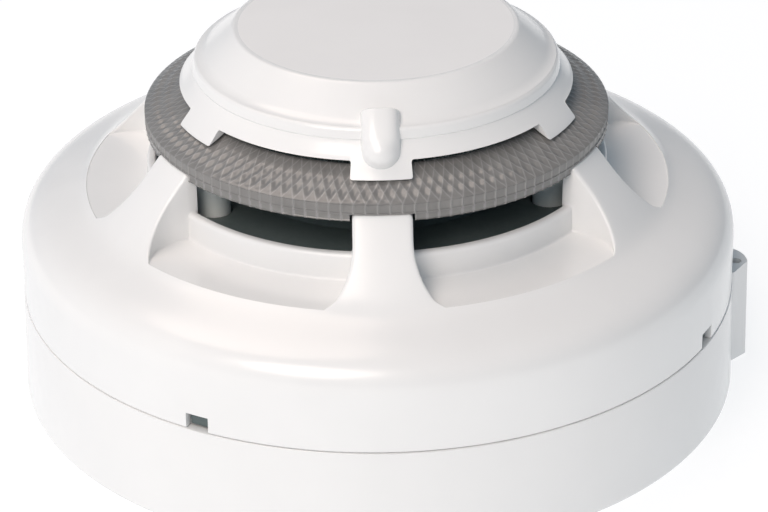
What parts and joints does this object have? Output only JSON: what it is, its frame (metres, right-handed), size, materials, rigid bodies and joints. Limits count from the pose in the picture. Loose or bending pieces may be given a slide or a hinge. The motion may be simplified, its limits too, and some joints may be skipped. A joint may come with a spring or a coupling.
{
  "type": "heat detector",
  "caption": "White ceiling heat detector with open vents between ribs, a clear indicator ring, a round cap and a twist-off mounting base.",
  "frame": {"origin": "middle of the base's flat mounting face", "axes": "+Z out of the mounting face through the cap, -Y through the front rib with the nub, +X through the side boss"},
  "size_m": [0.108, 0.1054, 0.0543],
  "materials": {
    "white_gloss": "gloss",
    "white_base": "gloss",
    "smoke_clear": "translucent, prismatic",
    "clear_guide": "translucent",
    "dark_mesh": "fine mesh",
    "black_plastic": "matte",
    "green_board": "solder mask",
    "chip_black": "matte",
    "aluminium_can": "satin",
    "led_red": "translucent",
    "bead_glass": "glossy",
    "tinned_brass": "plated",
    "zinc_steel": "zinc plated",
    "spring_steel": "bright"
  },
  "bodies": {
    "base": {"mounting_base": "white_base", "catch_spring": "spring_steel", "terminal_contact_1": "tinned_brass", "terminal_contact_2": "tinned_brass", "terminal_contact_3": "tinned_brass", "terminal_contact_4": "tinned_brass"},
    "head": {"head_back_plate": "black_plastic", "head_contact_1": "tinned_brass", "head_contact_2": "tinned_brass", "head_contact_3": "tinned_brass", "head_contact_4": "tinned_brass", "head_screw_1": "zinc_steel", "head_screw_2": "zinc_steel", "head_screw_3": "zinc_steel", "circuit_board": "green_board", "controller_chip": "chip_black", "storage_capacitor": "aluminium_can", "reference_thermistor": "bead_glass", "status_led_1": "led_red", "status_led_2": "led_red", "sensing_thermistor": "bead_glass", "thermistor_holder": "black_plastic", "sensor_deck": "black_plastic", "insect_screen": "dark_mesh", "light_pipe_1": "clear_guide", "light_pipe_2": "clear_guide", "outer_cover": "white_gloss", "light_ring": "smoke_clear", "top_cap": "white_gloss"},
    "catch": {"release_catch": "black_plastic"},
    "terminal_1": {"clamp_plate_1": "zinc_steel", "terminal_screw_1": "zinc_steel"},
    "terminal_2": {"clamp_plate_2": "zinc_steel", "terminal_screw_2": "zinc_steel"},
    "terminal_3": {"clamp_plate_3": "zinc_steel", "terminal_screw_3": "zinc_steel"},
    "terminal_4": {"clamp_plate_4": "zinc_steel", "terminal_screw_4": "zinc_steel"}
  },
  "joints": [
    {"name": "head_twist", "type": "hinge", "parent": "base", "child": "head", "pos_m": [0, 0, 0], "axis": [0, 0, 1], "range_deg": [0, 20]},
    {"name": "catch_travel", "type": "slide", "parent": "base", "child": "catch", "axis": [0, 0, -1], "range_m": [0, 0.00155], "stiffness_N_per_m": 200, "springref_m": -0.0005, "deforming": ["catch_spring"]},
    {"name": "terminal_1_lift", "type": "slide", "parent": "base", "child": "terminal_1", "axis": [0, 0, 1], "range_m": [0, 0.0015]},
    {"name": "terminal_2_lift", "type": "slide", "parent": "base", "child": "terminal_2", "axis": [0, 0, 1], "range_m": [0, 0.0015]},
    {"name": "terminal_3_lift", "type": "slide", "parent": "base", "child": "terminal_3", "axis": [0, 0, 1], "range_m": [0, 0.0015]},
    {"name": "terminal_4_lift", "type": "slide", "parent": "base", "child": "terminal_4", "axis": [0, 0, 1], "range_m": [0, 0.0015]}
  ],
  "couplings": [
    {"joint": "catch_travel", "follows": "head_twist", "m_per_rad": 0.0042972}
  ]
}
